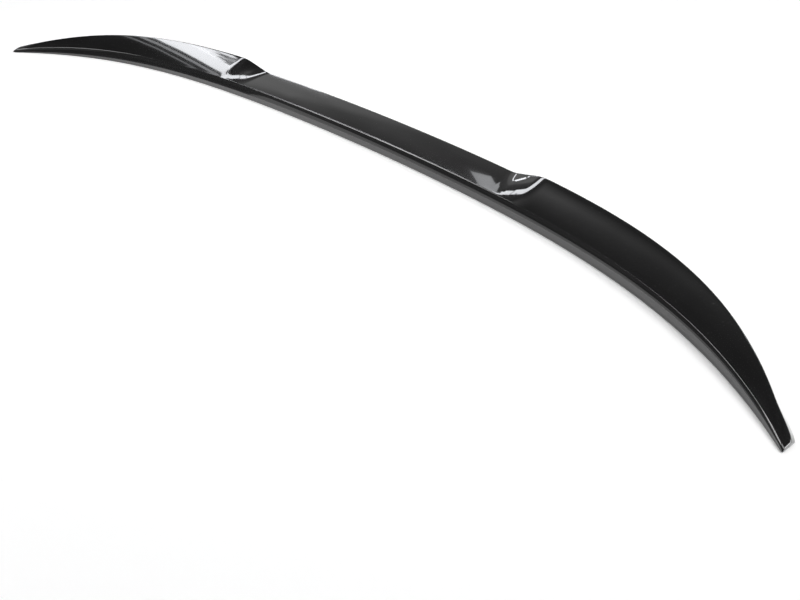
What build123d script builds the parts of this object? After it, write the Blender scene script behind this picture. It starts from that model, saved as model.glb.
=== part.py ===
# Car boot-lid lip spoiler: one thin-walled moulding with a raised wing at each end of a lower middle.
# X runs across the car, +Y to its rear and Z up. The rim that is bonded to the lid lies on Z = 0.
import os

from build123d import *

# Plan, mm: the leading edge bows forward from the centre and hooks over towards the tips
span = 1250.0
lead_bow = 63.5
lead_hook = 86.5
hook_power = 4.8
chord = 51.2
tip_chord = 8.0
plan_power = 6.9

# Heights, mm: front crease and its tip, rear edge in the middle, on the wings and at the tip
front_height = 15.5
tip_front_height = 3.5
middle_height = 21.4
wing_height = 33.0
tip_rear_height = 5.1
height_power = 7.7

# Ramp from the middle up to a wing, mm from the centre plane
ramp_foot = 225.0
ramp_crest = 267.0
ramp_round = 7.0

# Section, mm: how far the walls lean and how round the edges are, along the span and at the tip
front_lean = 5.1
tip_front_lean = 0.8
back_lean = 3.0
tip_back_lean = 15.0
crease_radius = 3.0
tip_crease_radius = 1.2
lip_radius = 1.0
tip_lip_radius = 2.0

# Nose, mm: the last of the tip, where the walls draw in and the top drops
nose_length = 6.0
nose_inset = 2.5
nose_drop = 1.2

# Underside, mm: an open pocket inside the flat bonding rim, with ribs across it
rim = 7.0
roof = 3.0
pocket_reach = 540.0
rib_pitch = 90.0
rib_thickness = 2.5
rib_setback = 2.0

half = span / 2
trim = 2.0


# A value that holds along the span and runs out to another at the tip
def tapered(inner, tip, power, x):
    return inner - (inner - tip) * (abs(x) / half) ** power


# Y of the leading edge at the base
def lead(x):
    s = abs(x) / half
    return -lead_bow * s**2 - lead_hook * s**hook_power


# A bend from level to a slope of one, rounded by a parabola
def bend(d):
    if d <= -ramp_round:
        return 0.0
    return d if d >= ramp_round else (d + ramp_round) ** 2 / (4 * ramp_round)


# Height of the rear edge: the middle, the straight ramp, then the wing running out to the tip
def rear_height(x):
    run = ramp_crest - ramp_foot
    climb = (bend(abs(x) - ramp_foot) - bend(abs(x) - ramp_crest)) / run
    wing_edge = tapered(wing_height, tip_rear_height, height_power, x)
    return middle_height + climb * (wing_edge - middle_height)


# Zero up to the nose, then a parabola that reaches one at the end of the tip
def nose(x):
    return max(0.0, (abs(x) - half) / nose_length + 1) ** 2


# Corners of the outer section at x, as (y, z): front base, crease, rear edge, rear base
def outer_corners(x):
    inset = nose_inset * nose(x)
    drop = nose_drop * nose(x)
    front = lead(x) + inset
    back = lead(x) + tapered(chord, tip_chord, plan_power, x)
    lean = tapered(front_lean, tip_front_lean, height_power, x)
    crease = (front + lean, tapered(front_height, tip_front_height, height_power, x) - drop)
    edge = (back - drop, rear_height(x) - drop)
    rear = back + tapered(back_lean, tip_back_lean, plan_power, x) - inset
    return (front, 0.0), crease, edge, (rear, 0.0)


# The same corners for the pocket, inside the rim and under the roof
def pocket_corners(x):
    front, crease, edge, rear = outer_corners(x)
    slope = (edge[1] - crease[1]) / (edge[0] - crease[0])
    y0, y1 = crease[0] + rim, edge[0] - rim
    z0 = crease[1] + slope * rim - roof
    return (front[0] + rim, -trim), (y0, z0), (y1, z0 + slope * (y1 - y0)), (rear[0] - rim, -trim)


# Outer section at x, drawn past the base plane so that one cut leaves the base flat.
# The front wall stands upright on the base and rolls back to the crease in one arc.
def outer_section(x):
    front, crease, edge, rear = outer_corners(x)
    with BuildSketch(Plane.YZ.offset(x)) as section:
        with BuildLine():
            TangentArc(front, crease, tangent=(0, 1))
            Polyline(crease, edge, rear, (rear[0], -trim), (front[0], -trim), front)
        make_face()
        crease_round = tapered(crease_radius, tip_crease_radius, height_power, x)
        fillet(section.vertices().sort_by_distance(crease)[0], crease_round)
        lip_round = tapered(lip_radius, tip_lip_radius, height_power, x)
        fillet(section.vertices().sort_by_distance(edge)[0], lip_round)
    return section.sketch


def pocket_section(x):
    with BuildSketch(Plane.YZ.offset(x)) as section:
        with BuildLine():
            Polyline(*pocket_corners(x), close=True)
        make_face()
    return section.sketch


# Evenly spaced stations, ends included
def stations(start, end, count):
    return [start + (end - start) * k / count for k in range(count + 1)]


# The middle, the ramp, the wing and its nose are lofted in turn, so that each keeps an even spacing
ramp_start = ramp_foot - ramp_round
ramp_end = ramp_crest + ramp_round
nose_start = half - nose_length

with BuildPart() as wing:
    loft([outer_section(x) for x in stations(ramp_start, ramp_end, 8)])
    loft([outer_section(x) for x in stations(ramp_end, nose_start, 9)])
    loft([outer_section(x) for x in stations(nose_start, half, 4)])
    split(bisect_by=Plane.XY, keep=Keep.TOP)

with BuildPart() as wing_pocket:
    loft([pocket_section(x) for x in stations(ramp_start, ramp_end, 8)])
    loft([pocket_section(x) for x in stations(ramp_end, pocket_reach, 5)])

# The pocket, less a slot for each rib; the ribs stop short of the bonding plane
rib_count = int((pocket_reach - rib_thickness) // rib_pitch)
rib_centres = [rib_pitch * k for k in range(-rib_count, rib_count + 1)]
with BuildPart() as pocket:
    loft([pocket_section(x) for x in stations(-ramp_start, ramp_start, 6)])
    add(wing_pocket.part)
    mirror(wing_pocket.part, about=Plane.YZ)
    with Locations([(x, lead(x), rib_setback) for x in rib_centres]):
        rib_corner = (Align.CENTER, Align.MIN, Align.MIN)
        Box(rib_thickness, 2 * chord, wing_height, align=rib_corner, mode=Mode.SUBTRACT)

with BuildPart() as shell:
    loft([outer_section(x) for x in stations(-ramp_start, ramp_start, 6)])
    split(bisect_by=Plane.XY, keep=Keep.TOP)
    add(wing.part)
    mirror(wing.part, about=Plane.YZ)
    add(pocket.part, mode=Mode.SUBTRACT)

# The finished part stands over the middle of its own footprint
with BuildPart() as spoiler:
    with Locations((0, -shell.part.bounding_box().center().Y, 0)):
        add(shell.part)

spoiler.part.label = "spoiler"
os.makedirs("parts", exist_ok=True)
export_step(spoiler.part, "parts/spoiler.step")
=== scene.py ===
import math

import bmesh
import bpy
import numpy as np
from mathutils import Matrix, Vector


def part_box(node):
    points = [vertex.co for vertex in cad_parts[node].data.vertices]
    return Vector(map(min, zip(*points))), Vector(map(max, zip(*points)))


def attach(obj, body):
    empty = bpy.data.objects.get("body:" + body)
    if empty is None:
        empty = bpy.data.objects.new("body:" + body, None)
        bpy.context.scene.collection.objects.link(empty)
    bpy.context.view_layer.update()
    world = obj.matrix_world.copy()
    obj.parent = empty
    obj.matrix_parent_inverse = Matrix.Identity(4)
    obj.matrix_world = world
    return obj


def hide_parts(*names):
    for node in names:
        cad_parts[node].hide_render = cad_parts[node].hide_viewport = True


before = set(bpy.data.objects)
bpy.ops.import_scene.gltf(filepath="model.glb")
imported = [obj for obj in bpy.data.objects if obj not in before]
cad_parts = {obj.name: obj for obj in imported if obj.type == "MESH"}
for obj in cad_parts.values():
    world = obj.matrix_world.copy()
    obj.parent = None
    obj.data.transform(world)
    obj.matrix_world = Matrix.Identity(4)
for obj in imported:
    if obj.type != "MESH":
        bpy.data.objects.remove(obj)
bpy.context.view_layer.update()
nodeLow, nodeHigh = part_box("spoiler")
scene = bpy.context.scene
scene.view_settings.view_transform = "Standard"
print("frame loaded:", ", ".join(sorted(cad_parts)))


# Camera at the photograph's angle; the lens is for a picture 800 wide by 600 high
shot = {
    "place": (0.72583, -0.62842, 0.47418),
    "down": 36.1,  # degrees below level
    "turn": 43.708,  # degrees from +Y towards -X
    "lens": 38.25,
    "sensor": 36.0,
    "clipStart": 0.01,
}

camera = bpy.data.objects.new("camera", bpy.data.cameras.new("camera"))
scene.collection.objects.link(camera)
camera.location = shot["place"]
camera.rotation_euler = (math.radians(90 - shot["down"]), 0, math.radians(shot["turn"]))
camera.data.sensor_width = shot["sensor"]
camera.data.lens = shot["lens"]
camera.data.clip_start = shot["clipStart"]
scene.camera = camera
print("camera placed")


# The moulding, in metres: X across the car, +Y to its rear, bonding rim on z = 0.
# Pairs are the value along the span and the value at the tip.
moulding = {
    "bow": 0.0635,
    "hook": 0.0865,
    "hookPower": 4.8,
    "chord": (0.0512, 0.0066),
    "creaseHeight": (0.0155, 0.0035),
    "wingHeight": (0.0330, 0.0051),
    "middleHeight": 0.0214,
    "planPower": 6.9,  # how late the chord and the back wall's lean run out to the tip
    "heightPower": 7.7,  # and the heights
    "rampFoot": 0.222,
    "rampCrest": 0.262,
    "rampSkew": 0.006,  # how much further out the ramp lies at the crease than at the lip
    "footRound": 0.007,
    "crestRound": 0.009,
    "frontLean": (0.0056, 0.0032),
    "frontDraft": 2.5,  # degrees off upright at the foot of the front wall
    "backLean": (0.003, 0.0164),
    "creaseRadius": (0.0026, 0.0012),
    "lipRadius": (0.0010, 0.0030),
    "baseRadius": 0.0006,
    "crown": 0.0004,  # rise of the top's middle over a straight line from crease to lip
    "endFrom": 0.595,  # from here the tip's end turns, as a slope in plan, and its back wall steepens
    "endTurn": 0.10,
    "endStep": 0.0050,
    "noseLength": 0.005,
    "noseInset": 0.0016,
    "noseDrop": 0.0012,
    "rim": 0.007,
    "roof": 0.003,
    "pocketReach": 0.540,
    "ribPitch": 0.090,
    "ribsEachSide": 5,
    "ribThickness": 0.0025,
    "ribSetback": 0.002,
    "stepAlong": 0.004,
    "stepOnRamp": 0.0010,
    "rampReach": (2, 3),  # how many rounds before its foot and past its crest the fine steps go
    "noseSteps": 12,
    "noseClear": 1.5,  # the even steps stop this many nose lengths before the end
    "stationDigits": 7,
    "sameStation": 1e-6,
    "baseSteps": 4,
    "frontSteps": 16,
    "creaseSteps": 20,
    "topSteps": 26,
    "lipSteps": 10,
    "backSteps": 8,
    "pocketSteps": 5,
    "roofSteps": 10,
    "pocketLeast": 0.001,  # half the pocket's least depth, where the section runs out
    "mergeWithin": 2e-6,
    "flatWithin": 1e-7,
    "sharpFrom": 28.0,  # degrees between two faces
}
halfSpan = (nodeHigh.x - nodeLow.x) / 2


# value along the span minus its fall to the tip, which grows with (|x| / halfSpan) to a high power
def runOut(name, x, power="heightPower"):
    along, tip = moulding[name]
    return along - (along - tip) * (np.abs(x) / halfSpan) ** moulding[power]


# leading edge in plan: a parabola plus a higher power that hooks the tips forward
def leadingEdge(x):
    s = np.abs(x) / halfSpan
    return -moulding["bow"] * s**2 - moulding["hook"] * s ** moulding["hookPower"]


# level, then a slope of one, joined by a parabola of half width r
def bend(d, r):
    return np.where(d <= -r, 0.0, np.where(d >= r, d, (d + r) ** 2 / (4 * r)))


# 0 in the middle, 1 on the wings, a straight climb between ramp foot and crest
def rampClimb(a):
    m = moulding
    climb = bend(a - m["rampFoot"], m["footRound"]) - bend(a - m["rampCrest"], m["crestRound"])
    return climb / (m["rampCrest"] - m["rampFoot"])


# what the wing's rear edge rises above the middle's, and the height of the rear edge
def wingRise(x):
    return runOut("wingHeight", x) - moulding["middleHeight"]


def rearHeight(x):
    return moulding["middleHeight"] + rampClimb(np.abs(x)) * wingRise(x)


# quarter ellipse that draws the section in over the last few mm: 1 - sqrt(1 - k^2)
def nose(x):
    k = np.clip((np.abs(x) - halfSpan) / moulding["noseLength"] + 1, 0, 1)
    return 1 - np.sqrt(1 - k**2)


# 0 up to endFrom, then 3 k^2 - 2 k^3 up to 1 at the end of the tip
def endShare(x):
    k = np.clip((np.abs(x) - moulding["endFrom"]) / (halfSpan - moulding["endFrom"]), 0, 1)
    return k**2 * (3 - 2 * k)


# how far the turned end draws the front base in along X: slope times depth, at full share
def endPull(x):
    depth = runOut("chord", x, "planPower") + runOut("backLean", x, "planPower")
    return np.sign(x) * moulding["endTurn"] * endShare(x) * depth


# (y, z) of front base, crease, rear edge and rear base at each station; each is taken from its own line
# at the X that the turned end draws it in to
def sectionCorners(x):
    m = moulding
    inset = m["noseInset"] * nose(x)
    drop = m["noseDrop"] * nose(x)
    lean = runOut("backLean", x, "planPower")
    chord = runOut("chord", x, "planPower")
    xFront = x - endPull(x)
    xEdge = x - endPull(x) * lean / (chord + lean)
    y = leadingEdge(xFront) + inset
    back = leadingEdge(xEdge) + runOut("chord", xEdge, "planPower") + m["endStep"] * endShare(x)
    front = np.stack([y, 0 * x], -1)
    crease = np.stack([y + runOut("frontLean", xFront), runOut("creaseHeight", xFront) - drop], -1)
    edge = np.stack([back - drop, rearHeight(xEdge) - drop], -1)
    rear = np.stack([leadingEdge(x) + chord + lean - inset, 0 * x], -1)
    return front, crease, edge, rear


# shares strictly between 0 and 1, evenly spaced
def between(steps):
    return np.linspace(0, 1, steps + 2)[1:-1]


def unit(v):
    return v / np.linalg.norm(v, axis=-1, keepdims=True)


# arc of a given radius tangent to both sides of a corner: centre on the bisector, swept from one
# tangent point to the other as (sin((1-k)w) * start + sin(kw) * end) / sin(w)
def roundCorner(before, corner, after, radius, steps):
    a = unit(before - corner)
    b = unit(after - corner)
    half = np.arccos(np.clip((a * b).sum(-1), -1, 1)) / 2
    r = np.broadcast_to(radius, half.shape)
    centre = corner + unit(a + b) * (r / np.sin(half))[:, None]
    start = corner + a * (r / np.tan(half))[:, None] - centre
    end = corner + b * (r / np.tan(half))[:, None] - centre
    w = (math.pi - 2 * half)[:, None, None]
    k = np.linspace(0, 1, steps)[None, :, None]
    sweep = np.sin((1 - k) * w) * start[:, None] + np.sin(k * w) * end[:, None]
    return centre[:, None] + sweep / np.sin(w)


# points strictly between the end of one run and the start of the next, raised by 4 k (1 - k) of a crown
# that is given as a share of the run's length
def straight(first, last, steps, crown=0.0):
    k = between(steps)[None, :, None]
    run = last[:, :1] - first[:, -1:]
    upward = np.stack([-run[..., 1], run[..., 0]], -1)
    return first[:, -1:] + run * k + upward * (4 * crown * k * (1 - k))


# stations along X with the underside's state at each: 0 solid, 1 open pocket, 2 rib.
# Where the state changes the station comes twice, once for each state, so the step is a flat wall.
def stations():
    m = moulding
    ribs = m["ribPitch"] * np.arange(-m["ribsEachSide"], m["ribsEachSide"] + 1)
    faces = np.concatenate([ribs - m["ribThickness"] / 2, ribs + m["ribThickness"] / 2])
    edges = np.sort(np.concatenate([[-halfSpan, halfSpan, -m["pocketReach"], m["pocketReach"]], faces]))
    noseRun = halfSpan - m["noseLength"] * (1 - np.sin(np.linspace(0, math.pi / 2, m["noseSteps"])))
    rampStart = m["rampFoot"] - m["rampReach"][0] * m["footRound"]
    rampEnd = m["rampCrest"] + m["rampReach"][1] * m["crestRound"]
    ramp = np.arange(rampStart, rampEnd, m["stepOnRamp"])
    even = np.arange(0, halfSpan - m["noseClear"] * m["noseLength"], m["stepAlong"])
    even = even[(even < ramp[0] - m["stepOnRamp"]) | (even > ramp[-1] + m["stepOnRamp"])]
    side = np.concatenate([even, ramp, noseRun])
    grid = np.unique(np.round(np.concatenate([side, -side, edges]), m["stationDigits"]))
    xs, states = [], []
    for low, high in zip(edges[:-1], edges[1:]):
        run = grid[(grid > low - m["sameStation"]) & (grid < high + m["sameStation"])]
        mid = (low + high) / 2
        isRib = np.abs(ribs - mid).min() < m["ribThickness"] / 2
        state = 0 if abs(mid) > m["pocketReach"] else (2 if isRib else 1)
        xs.append(run)
        states.append(np.full(len(run), state))
    return np.concatenate(xs), np.concatenate(states)


# outer half of the section: base edge, front wall, crease, top, lip, back wall, base edge.
# The front wall is an arc from its draft d to an end angle e = 2 atan(lean / height) - d off upright:
# y = R (cos d - cos t), z = R (sin t - sin d), where R = its chord / (2 sin((e - d) / 2)).
# At k of the way from crease to lip the ramp is read rampSkew * (1 - k) further in, and counts k times.
def outerProfile(x):
    m = moulding
    front, crease, edge, rear = sectionCorners(x)
    lean, height = (crease - front).T
    draft = math.radians(m["frontDraft"])
    turn = 2 * np.arctan2(lean, height) - draft
    bow = np.hypot(lean, height) / (2 * np.sin((turn - draft) / 2))
    above = front + np.array([math.sin(draft), math.cos(draft)])
    before = crease - np.stack([np.sin(turn), np.cos(turn)], -1)
    frontBase = roundCorner(rear, front, above, m["baseRadius"], m["baseSteps"])
    creaseArc = roundCorner(before, crease, edge, runOut("creaseRadius", x), m["creaseSteps"])
    lipArc = roundCorner(crease, edge, rear, runOut("lipRadius", x), m["lipSteps"])
    rearBase = roundCorner(edge, rear, front, m["baseRadius"], m["baseSteps"])
    short = np.linalg.norm(creaseArc[:, 0] - crease, axis=-1)
    t = draft + m["baseRadius"] / bow
    t = t[:, None] + between(m["frontSteps"])[None] * (turn - short / bow - t)[:, None]
    arc = np.stack([math.cos(draft) - np.cos(t), np.sin(t) - math.sin(draft)], -1)
    wall = front[:, None] + bow[:, None, None] * arc
    top = straight(creaseArc, lipArc, m["topSteps"], m["crown"] / m["chord"][0])
    k = between(m["topSteps"])[None]
    a = np.abs(x)[:, None]
    skewed = rampClimb(a - m["rampSkew"] * (1 - k)) - rampClimb(a)
    top[..., 1] += k * skewed * wingRise(x)[:, None]
    back = straight(lipArc, rearBase, m["backSteps"])
    return np.concatenate([frontBase, wall, creaseArc, top, lipArc, back, rearBase], 1)


# a pocket wall from its foot on the base up to height h, leaning as if it went on to its full height
def pocketWall(foot, head, full, h):
    k = np.linspace(0, 1, moulding["pocketSteps"])[None]
    y = foot[:, None] + (head - foot)[:, None] * k * (h / full)[:, None]
    return np.stack([y, h[:, None] * k], -1)


# inner half, from the rear rim over the pocket's roof to the front rim; a rib cuts it off at its
# setback and the solid ends flatten it to the base
def pocketProfile(x, state):
    m = moulding
    front, crease, edge, rear = sectionCorners(x)
    slope = (edge[:, 1] - crease[:, 1]) / (edge[:, 0] - crease[:, 0])
    roofFront = crease[:, 1] + slope * m["rim"] - m["roof"]
    roofRear = edge[:, 1] - slope * m["rim"] - m["roof"]
    middle = (front[:, 0] + rear[:, 0]) / 2
    yFront = np.minimum(front[:, 0] + m["rim"], middle - m["pocketLeast"])
    yRear = np.maximum(rear[:, 0] - m["rim"], middle + m["pocketLeast"])
    topFront = np.minimum(crease[:, 0] + m["rim"], middle - m["pocketLeast"])
    topRear = np.maximum(edge[:, 0] - m["rim"], middle + m["pocketLeast"])
    ceiling = np.select([state == 1, state == 2], [np.inf, m["ribSetback"]], 0.0)
    hFront = np.clip(ceiling, 0, np.maximum(roofFront, 0))
    hRear = np.clip(ceiling, 0, np.maximum(roofRear, 0))
    rearWall = pocketWall(yRear, topRear, roofRear, hRear)
    frontWall = pocketWall(yFront, topFront, roofFront, hFront)[:, ::-1]
    roof = straight(rearWall, frontWall, m["roofSteps"])
    return np.concatenate([rearWall, roof, frontWall], 1)


x, state = stations()
outer = outerProfile(x)
inner = pocketProfile(x, state)
ring = np.concatenate([outer, inner], 1)
count, around = ring.shape[:2]
points = np.concatenate([np.broadcast_to(x[:, None, None], (count, around, 1)), ring], -1)
points[..., 1] += nodeHigh.y - sectionCorners(x)[3][:, 0].max()

# at the turned end a point is drawn in along X by its share of the way from the rear to the front
rearY, frontY = ring[..., 0].max(1, keepdims=True), ring[..., 0].min(1, keepdims=True)
points[..., 0] -= endPull(x)[:, None] * (rearY - ring[..., 0]) / (rearY - frontY)

i, j = np.meshgrid(np.arange(count - 1), np.arange(around), indexing="ij")
nextJ = (j + 1) % around
here, beyond = i * around, (i + 1) * around
quads = np.stack([here + j, here + nextJ, beyond + nextJ, beyond + j], -1).reshape(-1, 4)
underside = (j >= outer.shape[1]).reshape(-1)

# a fan about the middle closes each end
tipCentres = points[[0, -1]].mean(1)
j = np.arange(around)
nextJ = (j + 1) % around
last = (count - 1) * around
nearFan = np.stack([np.full(around, count * around), nextJ, j], -1)
farFan = np.stack([np.full(around, count * around + 1), last + j, last + nextJ], -1)

mesh = bpy.data.meshes.new("spoilerMoulding")
mesh.from_pydata(
    np.concatenate([points.reshape(-1, 3), tipCentres]).tolist(),
    [],
    quads.tolist() + nearFan.tolist() + farFan.tolist(),
)
slots = np.concatenate([underside, np.zeros(2 * around, bool)])
mesh.polygons.foreach_set("material_index", slots.astype(np.int32))
shell = bmesh.new()
shell.from_mesh(mesh)
bmesh.ops.remove_doubles(shell, verts=shell.verts, dist=moulding["mergeWithin"])
bmesh.ops.dissolve_degenerate(shell, edges=shell.edges, dist=moulding["flatWithin"])
bmesh.ops.recalc_face_normals(shell, faces=shell.faces)
if shell.calc_volume(signed=True) < 0:
    bmesh.ops.reverse_faces(shell, faces=shell.faces)
openEdges = sum(1 for e in shell.edges if not e.is_manifold)
volume = round(shell.calc_volume() * 1e6, 1)
print("moulding:", len(shell.faces), "faces,", openEdges, "open edges, volume", volume, "cm3")
shell.to_mesh(mesh)
shell.free()
mesh.polygons.foreach_set("use_smooth", np.ones(len(mesh.polygons), bool))
mesh.set_sharp_from_angle(angle=math.radians(moulding["sharpFrom"]))
spoiler = bpy.data.objects.new("spoilerMoulding", mesh)
scene.collection.objects.link(spoiler)


# Black lacquer: nearly black with a little dust under a clear coat, over the slow waves of a moulding and
# the orange peel of the paint. A noise is its scale per metre, its detail and the two levels it is read
# between; heights are in metres.
lacquer = {
    "colour": (0.0034, 0.0034, 0.0036, 1),
    "cloud": (0.0062, 0.0062, 0.0064, 1),
    "cloudNoise": (14.0, 3.0, (0.35, 0.65)),
    "dust": (0.022, 0.022, 0.022, 1),
    "dustNoise": (420.0, 1.0, (0.70, 0.78)),
    "roughness": (0.04, 0.11),
    "smearNoise": (9.0, 5.0, (0.3, 0.7)),
    "coatRoughness": 0.02,
    "index": 1.58,
    "waveNoise": (16.0, 1.0, (0.0, 1.0)),
    "waveHeight": 0.00012,
    "peelNoise": (240.0, 1.0, (0.0, 1.0)),
    "peelHeight": 0.0000006,
}


def newMaterial(name):
    material = bpy.data.materials.new(name)
    material.use_nodes = True
    return material, material.node_tree, material.node_tree.nodes["Principled BSDF"]


def addNode(tree, kind, **inputs):
    node = tree.nodes.new(kind)
    for key, value in inputs.items():
        node.inputs[key].default_value = value
    return node


def addMath(tree, operation, first, second):
    node = tree.nodes.new("ShaderNodeMath")
    node.operation = operation
    tree.links.new(first, node.inputs[0])
    tree.links.new(second, node.inputs[1])
    return node.outputs[0]


# a value read between two levels and given out between two values
def addRange(tree, value, levels, values=(0.0, 1.0)):
    span = tree.nodes.new("ShaderNodeMapRange")
    span.inputs["From Min"].default_value, span.inputs["From Max"].default_value = levels
    span.inputs["To Min"].default_value, span.inputs["To Max"].default_value = values
    tree.links.new(value, span.inputs["Value"])
    return span.outputs["Result"]


def addNoise(tree, place, look, values=(0.0, 1.0)):
    scale, detail, levels = look
    noise = addNode(tree, "ShaderNodeTexNoise", Scale=scale, Detail=detail)
    tree.links.new(place, noise.inputs["Vector"])
    return addRange(tree, noise.outputs["Fac"], levels, values)


def mixColours(tree, share, first, second):
    mix = tree.nodes.new("ShaderNodeMix")
    mix.data_type = "RGBA"
    tree.links.new(share, mix.inputs["Factor"])
    for name, colour in (("A", first), ("B", second)):
        if isinstance(colour, tuple):
            mix.inputs[name].default_value = colour
        else:
            tree.links.new(colour, mix.inputs[name])
    return mix.outputs["Result"]


def addBump(tree, height, distance, before=None):
    bump = addNode(tree, "ShaderNodeBump", Strength=1.0, Distance=distance)
    tree.links.new(height, bump.inputs["Height"])
    if before is not None:
        tree.links.new(before, bump.inputs["Normal"])
    return bump.outputs["Normal"]


glossBlack, tree, shader = newMaterial("glossBlack")
place = tree.nodes.new("ShaderNodeTexCoord").outputs["Object"]
clouds = addNoise(tree, place, lacquer["cloudNoise"])
specks = addNoise(tree, place, lacquer["dustNoise"])
colour = mixColours(tree, clouds, lacquer["colour"], lacquer["cloud"])
colour = mixColours(tree, specks, colour, lacquer["dust"])
smears = addNoise(tree, place, lacquer["smearNoise"], lacquer["roughness"])
waves = addNoise(tree, place, lacquer["waveNoise"])
peel = addNoise(tree, place, lacquer["peelNoise"])
surface = addBump(tree, peel, lacquer["peelHeight"], addBump(tree, waves, lacquer["waveHeight"]))
tree.links.new(colour, shader.inputs["Base Color"])
tree.links.new(smears, shader.inputs["Roughness"])
tree.links.new(surface, shader.inputs["Normal"])
tree.links.new(surface, shader.inputs["Coat Normal"])
shader.inputs["IOR"].default_value = lacquer["index"]
shader.inputs["Coat Weight"].default_value = 1.0
shader.inputs["Coat Roughness"].default_value = lacquer["coatRoughness"]
shader.inputs["Coat IOR"].default_value = lacquer["index"]

# Bare plastic inside the pocket: dark and matt, with a spark-eroded grain and paler flow marks
barePlastic = {
    "colour": (0.011, 0.011, 0.011, 1),
    "flow": (0.020, 0.020, 0.021, 1),
    "flowNoise": (22.0, 4.0, (0.35, 0.7)),
    "roughness": (0.48, 0.68),
    "dullNoise": (44.0, 3.0, (0.3, 0.7)),
    "grainNoise": (1100.0, 2.0, (0.2, 0.8)),
    "grainHeight": 0.00004,
}

bareBlack, tree, shader = newMaterial("bareBlack")
place = tree.nodes.new("ShaderNodeTexCoord").outputs["Object"]
flow = addNoise(tree, place, barePlastic["flowNoise"])
grain = addNoise(tree, place, barePlastic["grainNoise"])
dull = addNoise(tree, place, barePlastic["dullNoise"], barePlastic["roughness"])
colour = mixColours(tree, flow, barePlastic["colour"], barePlastic["flow"])
tree.links.new(colour, shader.inputs["Base Color"])
tree.links.new(dull, shader.inputs["Roughness"])
tree.links.new(addBump(tree, grain, barePlastic["grainHeight"]), shader.inputs["Normal"])

mesh.materials.append(glossBlack)
mesh.materials.append(bareBlack)
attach(spoiler, "root")
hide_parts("spoiler")
print("materials set")


# Plain white floor; part of its white is its own glow, painted light that fills in for the lamps: more of
# it away from them, so that the picture's ground stays white and the object's shadow on it shows less
# towards -X: from and to along X with the share at each, and the same away from the middle
floorLook = {
    "size": 5.0,
    "drop": 0.0004,
    "colour": 0.9,
    "ownAlong": (0.75, -0.35),
    "own": (0.05, 0.32),
    "farAlong": (0.9, 1.6),
    "far": (0.0, 0.9),
}

corners = np.array([[-1, -1, 0], [1, -1, 0], [1, 1, 0], [-1, 1, 0]]) * floorLook["size"]
corners[:, 2] = -floorLook["drop"]
floorMesh = bpy.data.meshes.new("floor")
floorMesh.from_pydata(corners.tolist(), [], [(0, 1, 2, 3)])
floor = bpy.data.objects.new("floor", floorMesh)
scene.collection.objects.link(floor)
floorWhite = bpy.data.materials.new("floorWhite")
floorWhite.use_nodes = True
tree = floorWhite.node_tree
tree.nodes.clear()
out = tree.nodes.new("ShaderNodeOutputMaterial")
paper = addNode(tree, "ShaderNodeBsdfDiffuse", Color=(floorLook["colour"],) * 3 + (1,))
glow = addNode(tree, "ShaderNodeEmission", Color=(1, 1, 1, 1))
place = tree.nodes.new("ShaderNodeTexCoord").outputs["Object"]
parts = tree.nodes.new("ShaderNodeSeparateXYZ")
away = tree.nodes.new("ShaderNodeVectorMath")
away.operation = "LENGTH"
tree.links.new(place, parts.inputs[0])
tree.links.new(place, away.inputs[0])
# painted light: the floor's own glow, growing towards -X and away from the middle, seen by the camera and
# in the gloss
own = addRange(tree, parts.outputs["X"], floorLook["ownAlong"], floorLook["own"])
far = addRange(tree, away.outputs["Value"], floorLook["farAlong"], floorLook["far"])
rays = tree.nodes.new("ShaderNodeLightPath").outputs
seen = addMath(tree, "MAXIMUM", rays["Is Camera Ray"], rays["Is Glossy Ray"])
seen = addMath(tree, "MAXIMUM", seen, rays["Is Transmission Ray"])
share = addMath(tree, "MULTIPLY", seen, addMath(tree, "MAXIMUM", own, far))
blend = tree.nodes.new("ShaderNodeAddShader")
tree.links.new(share, glow.inputs["Strength"])
tree.links.new(paper.outputs[0], blend.inputs[0])
tree.links.new(glow.outputs[0], blend.inputs[1])
tree.links.new(blend.outputs[0], out.inputs["Surface"])
floorMesh.materials.append(floorWhite)


# Soft boxes: place, the way they face in degrees (turn from -Y towards +X, then tip down), size, radiance
softBoxes = {
    "overhead": {"place": (0.15, -0.45, 2.3), "turn": 0, "tip": 90, "size": (1.8, 0.8), "glow": 3.0},
    "sideBox": {"place": (1.95, 0.65, 1.5), "turn": -71, "tip": 36, "size": (1.6, 1.2), "glow": 6.0},
    "strip": {"place": (-0.722, -0.350, 0.698), "turn": 90, "tip": 45, "size": (0.16, 0.29), "glow": 4.4},
    "lowCard": {"place": (-0.28, -0.40, 0.065), "turn": 140, "tip": 5, "size": (0.46, 0.13), "glow": 0.5},
    "backBox": {"place": (0.35, 1.9, 1.8), "turn": 7, "tip": 42, "size": (0.4, 0.4), "glow": 8.0},
}
# Cards of the same kind that only the gloss shows, as the line along the crease
creaseCards = {
    "lowCrease": {"place": (-1.72, -0.68, 1.94), "turn": 90, "tip": 63, "size": (0.55, 0.48), "glow": 4.5},
    "highCrease": {"place": (-1.49, -0.10, 2.05), "turn": 90, "tip": 64, "size": (0.60, 0.36), "glow": 4.5},
}


# an area lamp of a given radiance, which faces straight down until it is turned
def addLamp(name, place, turns, size, glow, colour=(1, 1, 1)):
    lamp = bpy.data.lights.new(name, "AREA")
    lamp.color = colour
    lamp.shape = "RECTANGLE"
    lamp.size, lamp.size_y = size
    lamp.energy = glow * math.pi * lamp.size * lamp.size_y
    box = bpy.data.objects.new(name, lamp)
    scene.collection.objects.link(box)
    box.location = place
    box.rotation_euler = [math.radians(turn) for turn in turns]
    box.visible_camera = False
    return box


def addBox(name, look):
    return addLamp(name, look["place"], (look["tip"] - 90, 0, look["turn"]), look["size"], look["glow"])


for name, look in softBoxes.items():
    addBox(name, look)
for name, look in creaseCards.items():
    addBox(name, look).visible_diffuse = False

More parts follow.
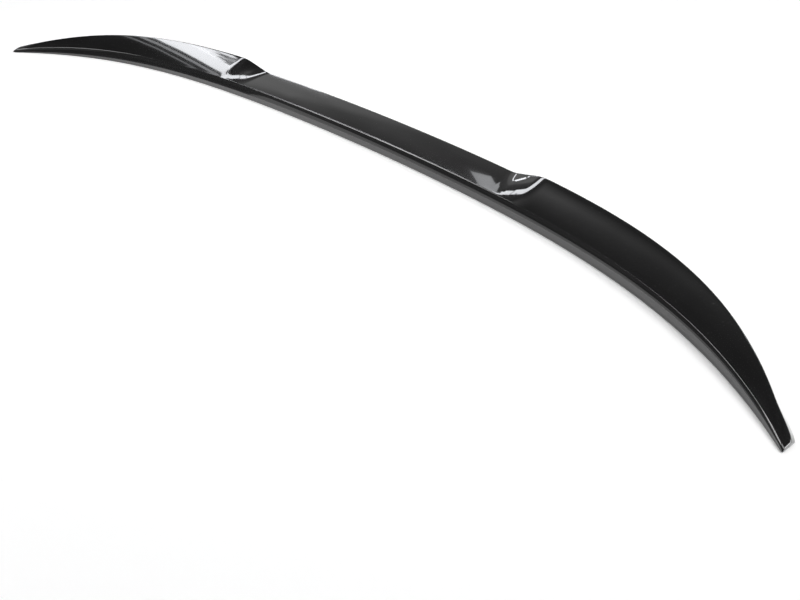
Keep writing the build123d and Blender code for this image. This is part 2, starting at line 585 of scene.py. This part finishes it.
# A row of lit panes on a far wall, which the gloss mirrors: from and to along the wall, the height of the
# pane's middle, how tall it is, and its radiance. Panes and bars at another slope run from one point of the
# wall, along and up, to another, with a thickness and a radiance.
farWall = {
    "distance": 2.6,
    "turn": 63.0,
    "roll": -13.0,
    "colour": (0.955, 0.968, 1.0),
    "panes": {
        "streakA": (-1.012, -0.992, 2.250, 0.50, 0.8),
        "streakB": (-0.947, -0.917, 2.250, 0.50, 1.3),
        "paneA": (-0.878, -0.745, 2.270, 0.52, 5.0),
        "stepOne": (-0.708, -0.682, 2.095, 0.19, 5.0),
        "stepTwo": (-0.682, -0.650, 2.080, 0.16, 5.0),
        "stepThree": (-0.650, -0.622, 2.062, 0.125, 5.0),
        "paneGrey": (-0.668, -0.615, 2.166, 0.036, 1.8),
        "paneFoot": (-0.618, -0.565, 2.080, 0.105, 5.0),
        "paneHead": (-0.790, -0.600, 2.450, 0.42, 5.0),
        "paneB": (-0.600, -0.270, 2.420, 0.44, 5.0),
        "paneC": (-0.245, -0.040, 2.460, 0.48, 5.0),
        "paneD": (-0.015, 0.320, 2.474, 0.42, 5.0),
        "slimPane": (0.945, 1.090, 2.430, 0.26, 1.5),
        "slimTop": (0.945, 1.040, 2.560, 0.08, 3.2),
    },
    "bars": {
        "paneE": ((0.300, 2.520), (0.435, 2.501), 0.42, 5.0),
        "paneF": ((0.465, 2.560), (0.700, 2.527), 0.38, 5.0),
        "paneG": ((0.700, 2.600), (0.815, 2.583), 0.32, 5.0),
        "paneH": ((0.850, 2.760), (1.000, 2.740), 0.33, 5.0),
    },
}
# the bars of a bright frame on a wall that faces the same way, further off
backWall = {
    "distance": 20.0,
    "bars": {
        "hookUp": ((5.361, 8.889), (4.565, 10.516), 0.347, 5.0),
        "hookFoot": ((4.565, 10.516), (4.021, 10.733), 0.463, 5.0),
        "lowBar": ((3.697, 10.915), (2.371, 10.191), 0.868, 5.0),
        "lowEnd": ((2.284, 9.864), (1.995, 9.864), 0.521, 5.0),
    },
}

wallTurn = math.radians(farWall["turn"])


# a lamp on a wall that far away, with its middle given along the wall and by its height
def addPane(name, away, along, up, roll, size, glow):
    x = along * math.cos(wallTurn) - away * math.sin(wallTurn)
    y = along * math.sin(wallTurn) + away * math.cos(wallTurn)
    addLamp(name, (x, y, up), (-90, roll, farWall["turn"]), size, glow, farWall["colour"])


for name, (start, end, up, tall, glow) in farWall["panes"].items():
    size = ((end - start) / math.cos(math.radians(farWall["roll"])), tall)
    addPane(name, farWall["distance"], (start + end) / 2, up, farWall["roll"], size, glow)
for wall in (farWall, backWall):
    for name, ((a0, h0), (a1, h1), thick, glow) in wall["bars"].items():
        roll = -math.degrees(math.atan2(h1 - h0, a1 - a0))
        size = (math.hypot(a1 - a0, h1 - h0), thick)
        addPane(name, wall["distance"], (a0 + a1) / 2, (h0 + h1) / 2, roll, size, glow)

# The room: white to the camera, an even light on matt things; to the gloss, walls in a ring round the
# object, from the one before it to the one behind it. Each wall's greys are (sine of the elevation, grey),
# and a wall gives way to the next where the direction's Y goes through the two values of its turn.
room = {
    "ambient": 0.3,
    "walls": {
        "before": (
            (0.0, 0.30), (0.04, 0.22), (0.10, 0.12), (0.20, 0.10), (0.45, 0.10),
            (0.58, 0.36), (0.75, 0.42), (0.90, 0.20), (1.0, 0.10),
        ),
        "card": (
            (0.0, 0.32), (0.03, 0.24), (0.06, 0.16), (0.10, 0.12), (0.20, 0.10), (0.33, 0.14),
            (0.45, 0.10), (0.58, 0.24), (0.75, 0.30), (0.90, 0.20), (1.0, 0.10),
        ),
        "corner": (
            (0.0, 0.30), (0.03, 0.15), (0.08, 0.10), (0.20, 0.12), (0.42, 0.15), (0.60, 0.12),
            (0.72, 0.10), (0.77, 0.32), (0.82, 0.48), (0.90, 0.20), (1.0, 0.10),
        ),
        "beside": (
            (0.0, 0.48), (0.50, 0.32), (0.60, 0.16), (0.70, 0.05), (0.74, 0.05),
            (0.80, 0.11), (0.85, 0.08), (0.90, 0.07), (1.0, 0.06),
        ),
        "behind": (
            (0.0, 0.48), (0.50, 0.38), (0.53, 0.36), (0.55, 0.19), (0.60, 0.15), (0.72, 0.11),
            (0.81, 0.56), (0.83, 0.31), (0.85, 0.19), (0.88, 0.08), (1.0, 0.06),
        ),
        "rear": (
            (0.0, 0.48), (0.50, 0.38), (0.53, 0.36), (0.55, 0.19), (0.60, 0.15), (0.72, 0.11),
            (0.88, 0.08), (1.0, 0.06),
        ),
    },
    "turns": {
        "card": (-0.86, -0.80),
        "corner": (-0.64, -0.54),
        "beside": (-0.22, -0.10),
        "behind": (0.18, 0.34),
        "rear": (0.265, 0.30),
    },
    "clutter": (0.75, 1.25),  # the walls aren't even: a soft noise between these
    "clutterNoise": (7.0, 4.0, (0.3, 0.7)),
}

world = bpy.data.worlds.new("room")
scene.world = world
world.use_nodes = True
tree = world.node_tree
tree.nodes.clear()
out = tree.nodes.new("ShaderNodeOutputWorld")
rays = tree.nodes.new("ShaderNodeLightPath").outputs
direction = tree.nodes.new("ShaderNodeTexCoord").outputs["Generated"]
parts = tree.nodes.new("ShaderNodeSeparateXYZ")
tree.links.new(direction, parts.inputs[0])
walls = None
for name, greys in room["walls"].items():
    wall = tree.nodes.new("ShaderNodeValToRGB")
    stops = wall.color_ramp.elements  # it comes with two
    for n, (height, grey) in enumerate(greys):
        stop = stops[n] if n < 2 else stops.new(height)
        stop.position = height
        stop.color = (grey, grey, grey, 1)
    tree.links.new(parts.outputs["Z"], wall.inputs["Fac"])
    if walls is None:
        walls = wall.outputs["Color"]
        continue
    facing = addRange(tree, parts.outputs["Y"], room["turns"][name])
    walls = mixColours(tree, facing, walls, wall.outputs["Color"])
white = addNode(tree, "ShaderNodeBackground", Color=(1, 1, 1, 1), Strength=1.0)
even = addNode(tree, "ShaderNodeBackground", Color=(1, 1, 1, 1), Strength=room["ambient"])
glossy = tree.nodes.new("ShaderNodeBackground")
forGloss = tree.nodes.new("ShaderNodeMixShader")
forCamera = tree.nodes.new("ShaderNodeMixShader")
clutter = addNoise(tree, direction, room["clutterNoise"], room["clutter"])
sharp = addMath(tree, "MAXIMUM", rays["Is Glossy Ray"], rays["Is Transmission Ray"])
tree.links.new(clutter, glossy.inputs["Strength"])
tree.links.new(walls, glossy.inputs["Color"])
tree.links.new(sharp, forGloss.inputs["Fac"])
tree.links.new(even.outputs[0], forGloss.inputs[1])
tree.links.new(glossy.outputs[0], forGloss.inputs[2])
tree.links.new(rays["Is Camera Ray"], forCamera.inputs["Fac"])
tree.links.new(forGloss.outputs[0], forCamera.inputs[1])
tree.links.new(white.outputs[0], forCamera.inputs[2])
tree.links.new(forCamera.outputs[0], out.inputs["Surface"])
print("floor and light set")
